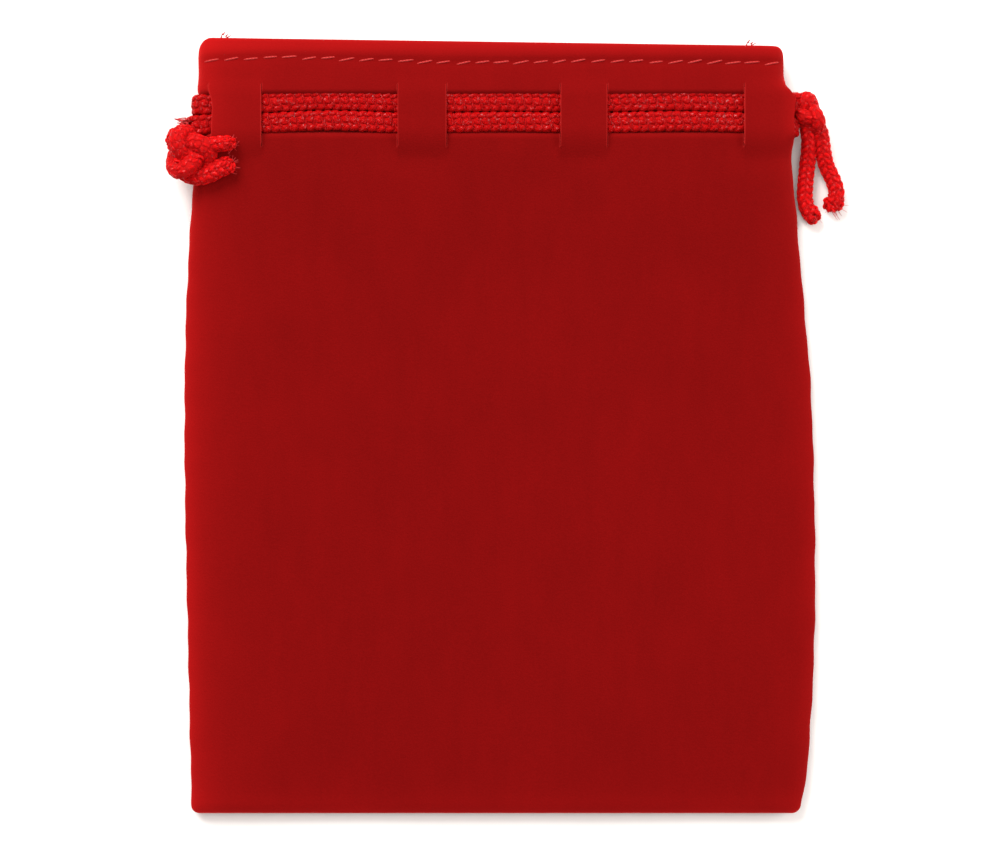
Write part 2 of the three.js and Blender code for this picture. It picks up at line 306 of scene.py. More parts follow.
def yarn_material(name, painted_lift):
    """Shiny cord yarn. A factor over 1 paints light into its tones, making a lit copy for the tails
    and knots, which catch more light than the cords in the slits.
    """
    material, nodes, links, shader = new_material(
        name,
        0.36,
        Specular_IOR_Level=0.10,
        Sheen_Weight=0.12,
        Sheen_Roughness=0.4,
        Sheen_Tint=(1.0, 0.05, 0.05, 1),
        Subsurface_Weight=0.55,
        Subsurface_Radius=(1.0, 0.08, 0.08),
        Subsurface_Scale=0.0009,
    )
    uv = nodes.new("ShaderNodeUVMap")
    uv.uv_map = "yarn"
    plies = nodes.new("ShaderNodeMapping")
    plies.inputs["Scale"].default_value = (14, 1.2, 1)
    plies.inputs["Rotation"].default_value = (0, 0, 0.45)
    links.new(uv.outputs["UV"], plies.inputs["Vector"])
    fibres = noise_on(nodes, links, plies.outputs["Vector"], 1.0, 3, 0.6)
    place = nodes.new("ShaderNodeTexCoord").outputs["Object"]
    patches = noise_on(nodes, links, place, 2400, 2, 0.5)
    tones = [(at, tuple(painted_lift * part for part in tone)) for at, tone in YARN_TONES]
    colour = ramp_on(nodes, links, fibres, tones)
    shade = ramp_on(nodes, links, patches, [(0.3, grey(0.92)), (0.7, grey(1.06))])
    colour = mix_colours(nodes, links, 1.0, colour, shade, "MULTIPLY")
    links.new(colour, shader.inputs["Base Color"])
    glint = ramp_on(nodes, links, patches, [(0.58, grey(0.02)), (0.70, grey(0.42))])
    links.new(glint, shader.inputs["Specular IOR Level"])
    links.new(bump_on(nodes, links, fibres, 0.5, FINE_BUMP), shader.inputs["Normal"])
    return material


def core_material():
    material, nodes, links, shader = new_material("cord_core", 0.9, Specular_IOR_Level=0.1)
    place = nodes.new("ShaderNodeTexCoord").outputs["Object"]
    grain = noise_on(nodes, links, place, 1500, 2)
    links.new(ramp_on(nodes, links, grain, CORE_TONES), shader.inputs["Base Color"])
    return material


def thread_material():
    material, nodes, links, shader = new_material(
        "sewing_thread",
        0.5,
        Specular_IOR_Level=0.15,
        Sheen_Weight=0.15,
        Sheen_Tint=(1.0, 0.2, 0.18, 1),
    )
    uv = nodes.new("ShaderNodeUVMap")
    uv.uv_map = "yarn"
    twist = nodes.new("ShaderNodeTexWave")
    twist.bands_direction = "DIAGONAL"
    twist.inputs["Scale"].default_value = 1.2
    twist.inputs["Distortion"].default_value = 0.6
    links.new(uv.outputs["UV"], twist.inputs["Vector"])
    plies = twist.outputs["Fac"]
    links.new(ramp_on(nodes, links, plies, THREAD_TONES), shader.inputs["Base Color"])
    links.new(bump_on(nodes, links, plies, 0.5, 0.8 * FINE_BUMP), shader.inputs["Normal"])
    return material


def fibre_material():
    material, nodes, links, shader = new_material(
        "cut_fibres",
        0.5,
        Specular_IOR_Level=0.4,
        Sheen_Weight=0.4,
        Sheen_Tint=(1.0, 0.3, 0.3, 1),
    )
    place = nodes.new("ShaderNodeTexCoord").outputs["Object"]
    strands = noise_on(nodes, links, place, 900, 2)
    links.new(ramp_on(nodes, links, strands, FIBRE_TONES), shader.inputs["Base Color"])
    return material


# ---- Routes and frames ----

ROUTE_SPACING = 0.3
CURVE_STOPS = 40


def smooth_route(points, spacing):
    """A Catmull-Rom curve through the points, as stops an even distance apart."""
    given = np.array(points, float)
    padded = np.vstack([2 * given[0] - given[1], given, 2 * given[-1] - given[-2]])
    fine = []
    for i in range(1, len(padded) - 2):
        a, b, c, d = padded[i - 1 : i + 3]
        ta = 0.0
        tb = ta + np.linalg.norm(b - a) ** 0.5
        tc = tb + np.linalg.norm(c - b) ** 0.5
        td = tc + np.linalg.norm(d - c) ** 0.5
        t = np.linspace(tb, tc, CURVE_STOPS, endpoint=False)[:, None]
        ab = (tb - t) / (tb - ta) * a + (t - ta) / (tb - ta) * b
        bc = (tc - t) / (tc - tb) * b + (t - tb) / (tc - tb) * c
        cd = (td - t) / (td - tc) * c + (t - tc) / (td - tc) * d
        abc = (tc - t) / (tc - ta) * ab + (t - ta) / (tc - ta) * bc
        bcd = (td - t) / (td - tb) * bc + (t - tb) / (td - tb) * cd
        fine.append((tc - t) / (tc - tb) * abc + (t - tb) / (tc - tb) * bcd)
    fine = np.vstack([*fine, given[-1:]])
    return even_stops(fine, spacing)


def even_stops(line, spacing):
    """The same line, as stops an even distance apart."""
    steps = np.linalg.norm(np.diff(line, axis=0), axis=1)
    run = np.concatenate([[0], np.cumsum(steps)])
    count = max(int(round(run[-1] / spacing)), 2)
    at = np.linspace(0, run[-1], count + 1)
    return np.stack([np.interp(at, run, line[:, k]) for k in range(3)], axis=1)


def route_length(line):
    return float(np.linalg.norm(np.diff(line, axis=0), axis=1).sum())


def unit(v):
    return v / np.maximum(np.linalg.norm(v, axis=-1, keepdims=True), 1e-12)


def frames_along(line, across_start):
    """Forward, across and out directions at each stop, carried along without twist."""
    forward = unit(np.gradient(line, axis=0))
    across = np.zeros_like(line)
    last = np.array(across_start, float)
    for i, f in enumerate(forward):
        last = last - f * last.dot(f)
        last = last / np.linalg.norm(last)
        across[i] = last
    return forward, across, np.cross(forward, across)


# ---- Meshes ----

def make_piece(name, verts, faces, materials, uvs=None, face_materials=None):
    mesh = bpy.data.meshes.new(name)
    mesh.from_pydata((np.asarray(verts) * MM).tolist(), [], [list(map(int, f)) for f in faces])
    for material in materials:
        mesh.materials.append(material)
    if face_materials is not None:
        mesh.polygons.foreach_set("material_index", np.asarray(face_materials, np.int32))
    if uvs is not None:
        layer = mesh.uv_layers.new(name="yarn")
        loops = np.zeros(len(mesh.loops), np.int32)
        mesh.loops.foreach_get("vertex_index", loops)
        layer.data.foreach_set("uv", np.asarray(uvs, np.float32)[loops].ravel())
    mesh.polygons.foreach_set("use_smooth", np.ones(len(mesh.polygons), bool))
    mesh.update()
    piece = bpy.data.objects.new(name, mesh)
    bpy.context.scene.collection.objects.link(piece)
    return piece


def tube_shell(count, sides):
    """Faces of a closed tube, made of count rings with the same number of vertices."""
    faces = []
    for i in range(count - 1):
        for k in range(sides):
            a, b = i * sides + k, i * sides + (k + 1) % sides
            faces.append((a, b, b + sides, a + sides))
    faces.append(tuple(range(sides - 1, -1, -1)))
    faces.append(tuple((count - 1) * sides + k for k in range(sides)))
    return faces


# Material numbers on a cord, a knot or a tail.
YARN, CORE, FIBRES = 0, 1, 2


class Shape:
    """Vertices, faces, yarn coordinates and material numbers gathered into one mesh."""

    def __init__(self):
        self.verts, self.faces, self.uvs, self.kinds = [], [], [], []
        self.count = 0

    def add_tube(self, line, normal, half_out, half_across, sides, kind=YARN):
        """A tube along line. normal points out of the surface the tube lies on."""
        forward = unit(np.gradient(line, axis=0))
        out = unit(normal - forward * (normal * forward).sum(1, keepdims=True))
        across = np.cross(forward, out)
        turn = np.arange(sides) * 2 * math.pi / sides
        half_out = np.broadcast_to(np.asarray(half_out, float), (len(line),))[:, None, None]
        half_across = np.broadcast_to(np.asarray(half_across, float), (len(line),))[:, None, None]
        rings = (
            line[:, None, :]
            + out[:, None, :] * np.cos(turn)[None, :, None] * half_out
            - across[:, None, :] * np.sin(turn)[None, :, None] * half_across
        )
        run = np.concatenate([[0], np.cumsum(np.linalg.norm(np.diff(line, axis=0), axis=1))])
        uvs = np.stack(np.broadcast_arrays((turn / (2 * math.pi))[None, :], run[:, None]), axis=-1)
        faces = tube_shell(len(line), sides)
        self.verts.append(rings.reshape(-1, 3))
        self.uvs.append(uvs.reshape(-1, 2))
        self.faces.extend(tuple(v + self.count for v in f) for f in faces)
        self.kinds.extend([kind] * len(faces))
        self.count += rings.shape[0] * rings.shape[1]

    def piece(self, name, materials):
        verts, uvs = np.vstack(self.verts), np.vstack(self.uvs)
        return make_piece(name, verts, self.faces, materials, uvs, self.kinds)


# ---- Knitted cord ----

WALES = 3  # columns of loops round the cord
COURSE = 1.44  # one knitted course along the cord
LOOP_LEAN = 0.20
LOOP_REACH = 0.46  # how far a loop runs along the cord, in courses
FREE_LOOP_REACH = 0.56
LOOP_DEPTH = 0.08
YARN_OUT = 0.31  # half the yarn's size, out of the cord and across it
YARN_ACROSS = 0.48
PRESSED = 0.72  # how square a cord gets in the slits
LAID_FILL = 0.17  # how far the core fills the yarn's half size
FREE_FILL = 0.11
CORE_SPACING = 0.35
STOPS_PER_STITCH = 14
YARN_SIDES = 6
CORE_SIDES = 14
LEAST_HALF_WIDTH = 0.3
LEAST_HALF_THICKNESS = 0.25


def pressed_oval(angle, a, b, press):
    """A point on an oval. With a press below 1 its flats are straighter than an ellipse's."""
    c, s = np.cos(angle), np.sin(angle)
    return a * np.sign(c) * np.abs(c) ** press, b * np.sign(s) * np.abs(s) ** press


def oval_table(a, b, press):
    """Angles round the oval, and the share of its edge passed at each."""
    angle = np.linspace(0, 2 * math.pi, 361)
    x, y = pressed_oval(angle, a, b, press)
    step = np.hypot(np.diff(x), np.diff(y))
    run = np.concatenate([[0], np.cumsum(step)])
    return angle, run / run[-1]


def knit_cord(shape, route, across_start, width, thickness, phase, scale=1.0, wales=WALES, laid=False):
    """Knits one yarn round and round an oval core that follows the route."""
    press = PRESSED if laid else 1.0
    reach = LOOP_REACH if laid else FREE_LOOP_REACH
    fill = LAID_FILL if laid else FREE_FILL
    line = even_stops(np.asarray(route), CORE_SPACING)
    _, across, out = frames_along(line, across_start)
    run = np.linspace(0, route_length(line), len(line))
    yarn_out, yarn_across = YARN_OUT * scale, YARN_ACROSS * scale
    a = max(width / 2 - yarn_out, LEAST_HALF_WIDTH)
    b = max(thickness / 2 - yarn_out, LEAST_HALF_THICKNESS)
    angle_table, share_table = oval_table(a, b, press)
    courses = run[-1] / (COURSE * scale)
    total = int(courses * wales * STOPS_PER_STITCH)
    tau = np.arange(total + 1) / STOPS_PER_STITCH
    share = (tau + LOOP_LEAN * np.sin(4 * math.pi * tau)) / wales + phase
    at = (tau / wales - reach * np.cos(2 * math.pi * tau)) * COURSE * scale
    # Small unevenness, so that no two loops lie quite alike.
    share = share + 0.012 * np.sin(tau * 2.17 + 5 * phase) + 0.010 * np.sin(tau * 5.31 + 1)
    at = at + 0.09 * scale * np.sin(tau * 3.71 + 2) + 0.07 * scale * np.sin(tau * 1.13)
    at = np.clip(at, 0, run[-1])
    lift = -LOOP_DEPTH * scale * np.cos(4 * math.pi * tau)
    angle = np.interp(share % 1.0, share_table, angle_table)

    def on_route(values):
        return np.stack([np.interp(at, run, values[:, k]) for k in range(3)], axis=1)

    c, s = np.cos(angle)[:, None], np.sin(angle)[:, None]
    centre, side, up = on_route(line), on_route(across), on_route(out)
    normal = unit(side * c * b + up * s * a)
    beside, above = pressed_oval(angle, a, b, press)
    yarn = centre + side * beside[:, None] + up * above[:, None] + normal * lift[:, None]
    shape.add_tube(yarn, normal, yarn_out, yarn_across, YARN_SIDES, YARN)
    shape.add_tube(line, unit(out), b + fill, a + fill, CORE_SIDES, CORE)
    return line


def frayed_end(shape, tip, direction, count, length, spread, seed, thickness=0.07, kind=FIBRES):
    """Loose yarn fibres that burst out of a cut end."""
    chance = random.Random(seed)
    tip = np.array(tip, float)
    direction = unit(np.array(direction, float))
    for _ in range(count):
        way = unit(direction + np.array([chance.gauss(0, spread) for _ in range(3)]) * [1, 1, 0.5])
        side = unit(np.cross(way, [chance.gauss(0, 1) for _ in range(3)]))
        reach = length * chance.uniform(0.45, 1.1)
        curl = chance.uniform(-0.5, 0.5) * reach
        t = np.linspace(0, 1, 6)[:, None]
        start = tip + np.array([chance.gauss(0, 0.35) for _ in range(3)]) * [1, 1, 0.6]
        line = start + way * t * reach + side * curl * t**2
        line[:, 2] = np.maximum(line[:, 2], 0.12)
        width = thickness * chance.uniform(0.6, 1.3) * (1 - 0.7 * t[:, 0])
        shape.add_tube(line, np.broadcast_to(side, line.shape), width, width, 4, kind)


END_TUFT = {
    "left_upper_end": 0.8,
    "left_lower_end": 1.1,
    "right_inner_end": 1.15,
    "right_outer_end": 1.6,
}
LOOP_PHASE = {"left_cord_loop": 0.0, "right_cord_loop": 0.15}
TAIL_THICKNESS = 2.2
TAIL_PHASE = 0.1
TAIL_SCALE = 0.80


def cord_pieces(laid_cord, painted_lit_cord):
    """The two cords in the slits and their four free tails, each with its line."""
    made = {}
    for name, route in (
        ("left_cord_loop", LEFT_CORD_ROUTE),
        ("right_cord_loop", RIGHT_CORD_ROUTE),
    ):
        shape = Shape()
        route = smooth_route(route, ROUTE_SPACING)
        phase = LOOP_PHASE[name]
        line = knit_cord(shape, route, (0, 1, 0), CORD_WIDTH, CORD_THICKNESS, phase, laid=True)
        made[name] = (shape.piece(name, laid_cord), line)
    for name, route, seed, across in (
        ("left_upper_end", LEFT_UPPER_TAIL_ROUTE, 3, (0, 1, 0)),
        ("left_lower_end", LEFT_LOWER_TAIL_ROUTE, 4, (0, 1, 0)),
        ("right_inner_end", RIGHT_INNER_TAIL_ROUTE, 5, (1, 0, 0.01)),
        ("right_outer_end", RIGHT_OUTER_TAIL_ROUTE, 6, (1, 0, 0.01)),
    ):
        shape = Shape()
        route = smooth_route(route, ROUTE_SPACING)
        wide = TAIL_WIDTH + (0.5 if name == "left_lower_end" else 0)
        line = knit_cord(shape, route, across, wide, TAIL_THICKNESS, TAIL_PHASE, TAIL_SCALE)
        size = END_TUFT[name]
        yarn_tuft(shape, line[-1], (size, size, 0.75), int(30 * size), seed)
        frayed_end(shape, line[-1], line[-1] - line[-5], 26, size + 0.7, 0.7, seed)
        made[name] = (shape.piece(name, painted_lit_cord), line)
    return made


# ---- Knots ----

def trefoil(centre, size, cord_radius, spin, depth, seed, tilt=0.0):
    """A tight overhand knot as a closed threefold line, lying down, pulled a little uneven."""
    chance = random.Random(seed)
    t = np.linspace(0, 2 * math.pi, 301)
    uneven = 1
    for k in (1, 2, 4):
        uneven = uneven + chance.uniform(-0.05, 0.05) * np.sin(k * t + chance.uniform(0, 6))
    x = (np.sin(t) + 2 * np.sin(2 * t)) / 3 * uneven
    y = (np.cos(t) - 2 * np.cos(2 * t)) / 3 * uneven
    z = -np.sin(3 * t)
    c, s = math.cos(spin), math.sin(spin)
    turned = np.stack([x * c - y * s, x * s + y * c, z], axis=1)
    reach = np.array([size[0] / 2 - cord_radius, size[1] / 2 - cord_radius, depth])
    lain = turned * reach
    c, s = math.cos(tilt), math.sin(tilt)
    lain[:, :2] = lain[:, :2] @ np.array([[c, s], [-s, c]])
    return np.array(centre) + lain


def yarn_tuft(shape, centre, reach, count, seed):
    """Loops of loosened yarn bunched round a cut end or over a knot."""
    chance = random.Random(seed)
    for _ in range(count):
        way = unit(np.array([chance.gauss(0, 1) for _ in range(3)]))
        middle = np.array(centre, float) + way * np.array(reach) * chance.uniform(0.55, 1.0)
        side = unit(np.cross(way, [chance.gauss(0, 1) for _ in range(3)]))
        other = np.cross(way, side)
        size = chance.uniform(0.35, 0.62)
        turn = np.linspace(0, chance.uniform(3.6, 5.6), 12)[:, None]
        line = middle + size * (np.cos(turn) * side + np.sin(turn) * other)
        line = line + way * 0.25 * np.sin(turn * 1.7)
        line[:, 2] = np.maximum(line[:, 2], 0.3)
        width = chance.uniform(0.17, 0.27)
        normal = np.broadcast_to(way, line.shape)
        shape.add_tube(line, normal, width, width * 1.2, YARN_SIDES, YARN)


def knot_heart(shape, centre, reach):
    """A lump of cord core that fills the middle of a tight knot."""
    t = np.linspace(-1, 1, 15)
    line = np.array(centre, float) + np.stack([t * 0, t * reach[1], t * 0], axis=1)
    round_off = np.sqrt(np.maximum(1 - t**2, 0.02))
    out = np.tile([0.0, 0.0, 1.0], (len(t), 1))
    shape.add_tube(line, out, reach[2] * round_off, reach[0] * round_off, 20, CORE)


def knot_pieces(materials):
    made = {}
    shape = Shape()
    line = trefoil((-51.35, 45.15, 6.3), (9.2, 9.9), 1.45, 1.40, 1.2, 31)
    knit_cord(shape, line, (0, 0, 1), 3.2, 2.7, 0, 0.62, 4)
    knot_heart(shape, (-51.4, 44.9, 6.2), (3.0, 3.2, 1.6))
    yarn_tuft(shape, (-51.3, 44.9, 6.8), (2.9, 3.1, 1.3), 40, 12)
    yarn_tuft(shape, (-53.9, 47.1, 5.4), (1.0, 1.6, 1.1), 30, 14)
    frayed_end(shape, (-51.9, 50.5, 4.4), (-1.0, -0.05, 0.1), 8, 2.0, 0.25, 11, 0.26)
    made["left_tied_knot"] = shape.piece("left_tied_knot", materials)
    shape = Shape()
    line = trefoil((50.65, 52.0, 3.5), (5.3, 7.9), 1.3, 0.25, 1.1, 32, 0.42)
    knit_cord(shape, line, (0, 0, 1), 2.9, 2.5, 0, 0.66, 4)
    knot_heart(shape, (50.6, 51.8, 3.2), (2.0, 3.0, 1.5))
    made["right_tied_knot"] = shape.piece("right_tied_knot", materials)
    return made


# ---- Panels ----

LEFT_EDGE = [
    (-64, -51.35),
    (-45, -51.8),
    (30, -51.8),
    (39, -51.2),
    (44, -50.6),
    (48.2, -49.7),
    (51.0, -49.5),
    (54.0, -49.6),
    (55.4, -50.1),
    (57, -50.15),
    (64.5, -50.05),
]
RIGHT_EDGE = [
    (-64, 49.5),
    (-58, 50.5),
    (-45, 51.5),
    (-8, 51.8),
    (8, 51.2),
    (21, 50.1),
    (35, 48.9),
    (45.4, 48.05),
    (50, 48.0),
    (54.3, 47.95),
    (55.2, 47.5),
    (56.0, 46.9),
    (57.0, 46.8),
    (64.5, 46.35),
]
MOUTH_BAND = [(44.6, 0), (48.4, 1), (55.2, 1), (58.0, 0)]
EDGE_ROUNDING = 2.3
CORNER_RADIUS = 1.25
HEM_FOLD_RADIUS = 0.65
HEM_DEPTH = 4.2
INNER_X = 40.5  # columns further out than this follow the side edge
BRIDGE_LEVEL = 6.75  # the front strips that stand over the cords
BAY_LEVEL = 4.3  # the front cloth that lies under them
BACK_BRIDGE_LEVEL = 0.05
BACK_BAY_LEVEL = 2.7
SLIT_HALF_GAP = 0.04
NEAR_EDGE = [0, 0.05, 0.16, 0.34, 0.6, 0.95, 1.4, 1.9, 2.5]  # insets of the closest columns and rows
TOP_ROW_Y = 62.6


def soft_steps(points, at):
    """Smooth passage through (input, output) points."""
    xs = np.array([p[0] for p in points], float)
    ys = np.array([p[1] for p in points], float)
    at = np.clip(np.asarray(at, float), xs[0], xs[-1])
    i = np.clip(np.searchsorted(xs, at, side="right") - 1, 0, len(xs) - 2)
    t = (at - xs[i]) / (xs[i + 1] - xs[i])
    slope = np.gradient(ys, xs)
    span = xs[i + 1] - xs[i]
    t2, t3 = t * t, t * t * t
    return (
        (2 * t3 - 3 * t2 + 1) * ys[i]
        + (t3 - 2 * t2 + t) * span * slope[i]
        + (-2 * t3 + 3 * t2) * ys[i + 1]
        + (t3 - t2) * span * slope[i + 1]
    )


def straight_steps(points, at):
    xs, ys = zip(*points)
    return np.interp(at, xs, ys)


def smoothstep(t):
    t = np.clip(t, 0, 1)
    return t * t * (3 - 2 * t)


def mouth_y(x):
    return 63.4 - 0.0145 * x


def corner_draw(y):
    """How far a rounded corner pulls the side edge in at this height."""
    up = np.clip((y - BOTTOM_Y) / CORNER_RADIUS, 0, 1)
    return CORNER_RADIUS * (1 - np.sqrt(np.clip(1 - (1 - up) ** 2, 0, 1)))


def left_edge(y):
    pucker = 0.10 * np.sin(y * 0.83) * np.sin(y * 0.29 + 1)
    return soft_steps(LEFT_EDGE, y) + corner_draw(y) + pucker


def right_edge(y):
    pucker = 0.10 * np.sin(y * 0.71 + 2) * np.sin(y * 0.23)
    return soft_steps(RIGHT_EDGE, y) - corner_draw(y) + pucker


def rounding(inset):
    inside = np.clip(inset / EDGE_ROUNDING, 0, 1)
    return np.sqrt(1 - (1 - inside) ** 2)


def seam_level(y):
    return straight_steps([(44, SEAM_Z), (49, WRAP_Z), (55, WRAP_Z), (58.5, 2.75)], y)


def waves(x, y, seed):
    """Gentle unevenness of cloth that has been folded and smoothed flat."""
    return (
        0.16 * np.sin(x * 0.11 + seed) * np.sin(y * 0.083 + 2 * seed)
        + 0.10 * np.sin(x * 0.21 - y * 0.05 + seed)
        + 0.05 * np.sin(x * 0.43 + 3 * seed) * np.cos(y * 0.31)
    )


STITCH_ROW = [(-50, 60.1), (-37, 60.75), (-24, 60.45), (-10, 59.9), (12, 60.1), (48, 59.8)]


def stitch_y(x):
    """Height of the hem's stitch row, which wanders a little."""
    return soft_steps(STITCH_ROW, x)


FRONT_LEVELS = [
    (-64, 3.0),
    (14, 3.0),
    (27, 3.4),
    (37, 4.3),
    (43.5, 5.2),
    (49, 6.05),
    (56, 6.4),
    (60, 6.1),
    (65, 5.5),
]
BRIDGE_BAND = [(43.6, 0), (49.4, 1), (54.4, 1), (57.8, 0)]
BAY_BAND = [(47.75, 0), (49.3, 1), (53.8, 1), (55.25, 0)]
BACK_BAY_BAND = [(46.3, 0), (48.2, 1), (55.4, 1), (56.9, 0)]


def front_surface(x, y, bridge):
    """Height of the front cloth, on a strip over the cords (bridge) or in a bay under them."""
    free = soft_steps(FRONT_LEVELS, y)
    above = y - stitch_y(x)
    free = free + 0.18 * smoothstep(above / 0.8) - 0.16 * np.exp(-((above / 0.55) ** 2))
    free = free + waves(x, y, 0.7) * (1 - smoothstep((y - 40) / 6))
    level = BRIDGE_LEVEL if bridge else BAY_LEVEL
    band = smoothstep(straight_steps(BRIDGE_BAND if bridge else BAY_BAND, y))
    return free + (level - free) * band


def back_surface(x, y, bridge):
    """Height of the back cloth, where a strip lies below the cords and a bay above them."""
    free = straight_steps([(57.0, 0.0), (59.4, 0.35), (61, 0.35), (63.4, 1.2)], y)
    level = BACK_BRIDGE_LEVEL if bridge else BACK_BAY_LEVEL
    band = smoothstep(straight_steps(BRIDGE_BAND if bridge else BACK_BAY_BAND, y))
    return free + (level - free) * band


def top_corner_drop(inset, side):
    """How far a rounded top corner falls below the mouth's line."""
    size = 2.0 if side < 0 else 0.9
    inside = np.clip(inset / size, 0, 1)
    return size * (1 - np.sqrt(1 - (1 - inside) ** 2))


def fade(distance, reach):
    return math.exp(-max(distance, 0) / reach)


def painted_edge_sheen(x, y):
    """Painted sheen: how much lighter the cloth is painted along the side seams (most on the left), at
    the bottom seam and over the mouth fold, where light and sheen fall on the curved edges.
    """
    from_left = x - float(left_edge(y))
    from_right = float(right_edge(y)) - x
    left = 0.25 * fade(from_left, 6.0) + 0.40 * fade(from_left, 1.3)
    right = 0.07 * fade(from_right, 5.0) + 0.20 * fade(from_right, 1.3)
    mouth = 0.07 * float(smoothstep((y - 30) / 32)) + 0.32 * float(smoothstep((y - 60.4) / 2.6))
    foot = 0.20 * fade(y + 63.5, 1.6) + 0.55 * fade(y + 63.9, 0.4)
    return left + right + mouth + foot


def grid_lines(low, high, step):
    count = max(int(math.ceil((high - low) / step)), 1)
    return list(np.linspace(low, high, count + 1))[:-1]


def half_columns(side):
    """Column places across half a panel, closer at its side edge and beside the slits."""
    slits = [x for x in SLIT_X if (x < 0) == (side < 0)]
    edge = 49.5 if side < 0 else 47.5
    inner = edge - NEAR_EDGE[-1]
    marks = sorted({0.0, *(abs(x) for x in slits if abs(x) < inner - 0.2), inner})
    columns = []
    for low, high in zip(marks, marks[1:]):
        columns += grid_lines(low, high, 0.85)
    columns += [edge - d for d in reversed(NEAR_EDGE)]
    slit_at = [abs(x) for x in slits]
    for s in slit_at:
        nearest = min(range(len(columns)), key=lambda i: abs(columns[i] - s))
        columns[nearest] = s
    columns += [s + d for s in slit_at for d in (-0.24, 0.24)]
    columns = sorted(set(columns))
    return [side * c for c in (columns if side > 0 else reversed(columns))], edge


def panel_rows():
    """Row places from the bottom seam to the mouth, closer at the seam and along the slits."""
    fine_from = 44.0
    rows = [BOTTOM_Y + d for d in NEAR_EDGE[:-1]]
    rows += grid_lines(BOTTOM_Y + NEAR_EDGE[-1], fine_from, 1.0)
    rows += grid_lines(fine_from, SLIT_Y[0], 0.38)
    rows += grid_lines(SLIT_Y[0], SLIT_Y[1], 0.36)
    rows += grid_lines(SLIT_Y[1], TOP_ROW_Y, 0.5)
    return rows + [TOP_ROW_Y]


def place_x(column, y, edge):
    """Columns near the side follow the side edge, and the others stay put."""
    column = np.asarray(column, float)
    if edge < 0:
        target = left_edge(y)
        share = np.clip((column + INNER_X) / (edge + INNER_X), 0, None)
        return np.where(column < -INNER_X, -INNER_X + (target + INNER_X) * share, column)
    target = right_edge(y)
    share = np.clip((column - INNER_X) / (edge - INNER_X), 0, None)
    return np.where(column > INNER_X, INNER_X + (target - INNER_X) * share, column)


def half_panel(name, side, front, material):
    """One half of a panel, from the middle line to its side seam, with its slits and folded hem."""
    columns, edge_size = half_columns(side)
    edge = side * edge_size
    rows = panel_rows()
    fold_turns = np.linspace(0, math.pi, 9)[1:]
    tuck = np.linspace(0, HEM_DEPTH - 0.8, 6)[1:]
    sign = 1 if front else -1
    surface = front_surface if front else back_surface
    slit_set = {x for x in SLIT_X if (x < 0) == (side < 0)}
    verts, raw, light, index = [], [], [], {}

    def is_bridge(x, lean):
        """Whether the cloth just beside x runs over the cords."""
        return sum(s < x + lean * 1e-3 for s in SLIT_X) % 2 == 1

    def vertex(i, j, lean):
        column = columns[i]
        is_slit = column in slit_set
        row_y = rows[min(j, len(rows) - 1)]
        in_slit = is_slit and SLIT_Y[0] < row_y < SLIT_Y[1] and j < len(rows)
        key = (i, j, lean if in_slit else 0)
        if key in index:
            return index[key]
        extra = j - len(rows)
        y = row_y
        x = float(place_x(column, y, edge))
        if y > SLIT_Y[1]:
            side_inset = (x - left_edge(y)) if side < 0 else (right_edge(y) - x)
            top = mouth_y(x) - HEM_FOLD_RADIUS - top_corner_drop(side_inset, side)
            y = SLIT_Y[1] + (row_y - SLIT_Y[1]) * (top - SLIT_Y[1]) / (rows[-1] - SLIT_Y[1])
        if is_slit and not in_slit:
            before = surface(x, y, is_bridge(column, -1))
            after = surface(x, y, is_bridge(column, 1))
            z = (before + after) / 2
        else:
            z = surface(x, y, is_bridge(column, lean if is_slit else 1))
        if in_slit:
            x += lean * SLIT_HALF_GAP
        inset = (x - left_edge(y)) if side < 0 else (right_edge(y) - x)
        sewn = rounding(max(inset, 0)) * rounding(max(y - BOTTOM_Y, 0))
        open_side = smoothstep(straight_steps(MOUTH_BAND, y)) if side > 0 else 0.0
        puff = sewn + (1 - sewn) * open_side
        z = seam_level(y) + 0.03 * sign + (z - seam_level(y)) * puff
        if extra >= 0:
            depth = min(HEM_FOLD_RADIUS, max(abs(z - seam_level(y)) * 0.45, 0.15))
            turn = fold_turns[min(extra, len(fold_turns) - 1)]
            y += HEM_FOLD_RADIUS * math.sin(turn)
            z -= sign * depth * (1 - math.cos(turn))
            x -= side * 0.45 * (1 - math.cos(turn)) * float(smoothstep((abs(column) - INNER_X) / 6))
            if extra >= len(fold_turns):
                y -= tuck[extra - len(fold_turns)]
        index[key] = len(verts)
        verts.append((x, y, float(z)))
        raw.append(1.0 if in_slit else 0.0)
        light.append(painted_edge_sheen(x, y))
        return index[key]

    faces = []
    for i in range(len(columns) - 1):
        for j in range(len(rows) + len(fold_turns) + len(tuck) - 1):
            low = (vertex(i, j, 1), vertex(i + 1, j, -1))
            high = (vertex(i + 1, j + 1, -1), vertex(i, j + 1, 1))
            quad = low + high
            faces.append(quad if front else quad[::-1])
    piece = make_piece(name, verts, faces, [material])
    for label, values in (("raw_edge", raw), ("painted_edge_sheen", light)):
        layer = piece.data.attributes.new(label, "FLOAT", "POINT")
        layer.data.foreach_set("value", np.array(values, np.float32))
    thicken(piece, FABRIC * MM)
    return piece


CRISP_ANGLE = math.radians(50)


def thicken(piece, thickness):
    """Gives the cloth its thickness, inward, and keeps cut edges crisp."""
    solid = piece.modifiers.new("thickness", "SOLIDIFY")
    solid.thickness = thickness
    solid.offset = -1
    apply_modifiers(piece)
    choose_only(piece)
    bpy.ops.object.shade_smooth_by_angle(angle=CRISP_ANGLE)


def choose_only(piece):
    for other in bpy.context.selected_objects:
        other.select_set(False)
    bpy.context.view_layer.objects.active = piece
    piece.select_set(True)


def apply_modifiers(piece):
    choose_only(piece)
    for modifier in list(piece.modifiers):
        bpy.ops.object.modifier_apply(modifier=modifier.name)


# ---- Stitching ----

